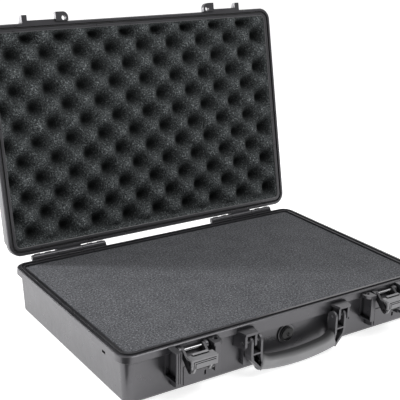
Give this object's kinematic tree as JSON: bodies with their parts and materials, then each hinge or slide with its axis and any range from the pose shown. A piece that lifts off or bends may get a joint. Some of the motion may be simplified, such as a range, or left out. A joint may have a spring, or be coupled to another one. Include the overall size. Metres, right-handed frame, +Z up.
{
  "type": "laptop hard case",
  "caption": "Moulded hard case with a hinged lid, foam lining, two hooked latches, padlock holes, a folding carry handle and a pressure valve.",
  "frame": {"origin": "middle of the raised field on the underside, level with the feet, under the middle of the rim", "axes": "+X to the right along the hinges, +Y towards the hinges at the back, +Z up"},
  "size_m": [0.5, 0.4787, 0.4168],
  "materials": {
    "shell": "fine grain",
    "foam": "soft open-cell foam",
    "seal": "matt",
    "steel": "plain",
    "chrome": "polished",
    "lever": "satin",
    "handle": "satin",
    "grip": "soft",
    "valve": "gloss"
  },
  "bodies": {
    "base": {"base_shell": "shell", "base_foam_pad": "foam", "base_foam_block": "foam", "hinge_pin_left": "steel", "hinge_pin_right": "steel", "latch_pin_left": "chrome", "latch_pin_right": "chrome", "handle_pin_left": "steel", "handle_pin_right": "steel", "valve_body": "valve", "valve_cap": "valve", "valve_nut": "valve"},
    "lid": {"lid_shell": "shell", "lid_seal": "seal", "lid_foam": "foam"},
    "latch_left": {"latch_frame_left": "shell", "lever_pin_left": "steel"},
    "lever_left": {"latch_lever_left": "lever"},
    "latch_right": {"latch_frame_right": "shell", "lever_pin_right": "steel"},
    "lever_right": {"latch_lever_right": "lever"},
    "handle": {"handle_frame": "handle", "handle_grip": "grip"}
  },
  "joints": [
    {"name": "lid_hinge", "type": "hinge", "parent": "base", "child": "lid", "pos_m": [0, 0.1722, 0.0711], "axis": [1, 0, 0], "range_deg": [0, 101.1]},
    {"name": "handle_swing", "type": "hinge", "parent": "base", "child": "handle", "pos_m": [0, -0.1755, 0.0517], "axis": [-1, 0, 0], "range_deg": [0, 90]},
    {"name": "latch_left_swing", "type": "hinge", "parent": "base", "child": "latch_left", "pos_m": [-0.157, -0.1704, 0.0635], "axis": [-1, 0, 0], "range_deg": [-12, 97]},
    {"name": "lever_left_pull", "type": "hinge", "parent": "latch_left", "child": "lever_left", "pos_m": [-0.157, -0.1894, 0.0463], "axis": [-1, 0, 0], "range_deg": [-15, 0]},
    {"name": "latch_right_swing", "type": "hinge", "parent": "base", "child": "latch_right", "pos_m": [0.157, -0.1704, 0.0635], "axis": [-1, 0, 0], "range_deg": [-12, 97]},
    {"name": "lever_right_pull", "type": "hinge", "parent": "latch_right", "child": "lever_right", "pos_m": [0.157, -0.1894, 0.0463], "axis": [-1, 0, 0], "range_deg": [-15, 0]}
  ]
}
